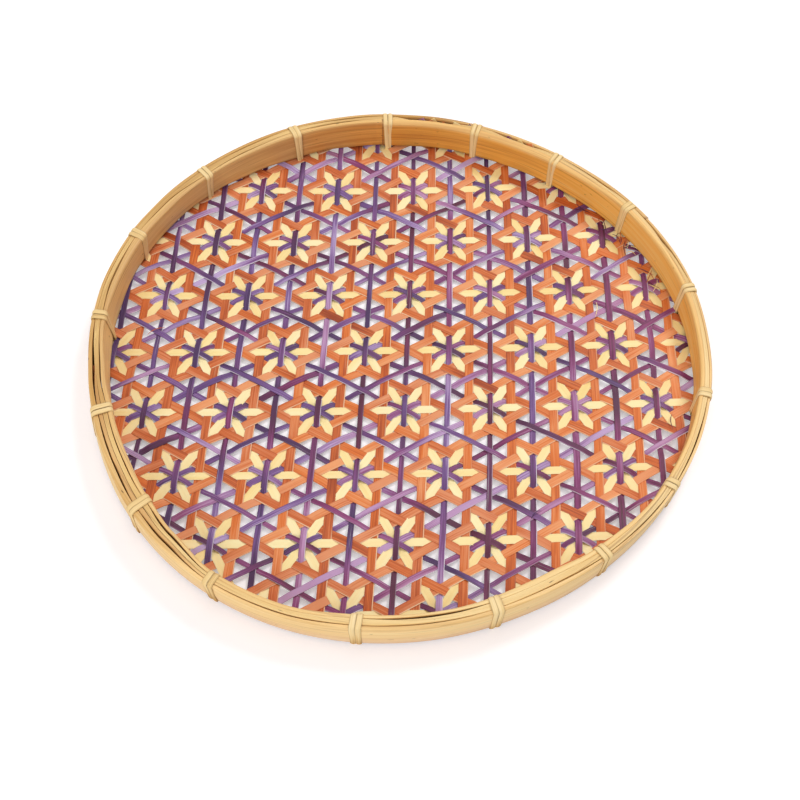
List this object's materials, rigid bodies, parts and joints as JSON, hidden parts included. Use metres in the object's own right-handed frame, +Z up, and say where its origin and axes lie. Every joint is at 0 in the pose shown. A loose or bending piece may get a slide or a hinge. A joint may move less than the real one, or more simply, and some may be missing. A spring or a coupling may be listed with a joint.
{
  "type": "woven wall basket",
  "caption": "Shallow round bamboo tray basket: an openwork star-flower mat gripped between two bent hoops and bound with flat rattan strand.",
  "frame": {"origin": "middle of the tray's round plan, on the plane that it stands on, under the bindings", "axes": "+Z up out of the dish, square to the mat; +X along a row of flowers, to the right in the picture; +Y away from the viewer in the picture, up when the tray hangs on a wall"},
  "size_m": [0.3308, 0.3322, 0.0239],
  "materials": {
    "outer_bamboo": "satin split bamboo skin",
    "inner_bamboo": "satin honey bamboo",
    "splint_bamboo": "satin split bamboo",
    "rattan": "matt straw strand",
    "orange_strip": "matt dyed bamboo",
    "purple_strip": "matt dyed bamboo",
    "cream_strip": "matt natural bamboo"
  },
  "bodies": {
    "root": {"outer_hoop": "outer_bamboo", "inner_hoop": "inner_bamboo", "rim_splint": "splint_bamboo", "orange_net": "orange_strip", "purple_net": "purple_strip", "lashing_01": "rattan", "lashing_02": "rattan", "lashing_03": "rattan", "lashing_04": "rattan", "lashing_05": "rattan", "lashing_06": "rattan", "lashing_07": "rattan", "lashing_08": "rattan", "lashing_09": "rattan", "lashing_10": "rattan", "lashing_11": "rattan", "lashing_12": "rattan", "lashing_13": "rattan", "lashing_14": "rattan", "lashing_15": "rattan", "lashing_16": "rattan", "lashing_17": "rattan", "cream_across_1": "cream_strip", "cream_across_2": "cream_strip", "cream_across_3": "cream_strip", "cream_across_4": "cream_strip", "cream_across_5": "cream_strip", "cream_across_6": "cream_strip", "cream_across_7": "cream_strip", "cream_across_8": "cream_strip", "cream_falling_1": "cream_strip", "cream_falling_2": "cream_strip", "cream_falling_3": "cream_strip", "cream_falling_4": "cream_strip", "cream_falling_5": "cream_strip", "cream_falling_6": "cream_strip", "cream_falling_7": "cream_strip", "cream_falling_8": "cream_strip", "cream_rising_1": "cream_strip", "cream_rising_2": "cream_strip", "cream_rising_3": "cream_strip", "cream_rising_4": "cream_strip", "cream_rising_5": "cream_strip", "cream_rising_6": "cream_strip", "cream_rising_7": "cream_strip", "cream_rising_8": "cream_strip"}
  },
  "joints": []
}
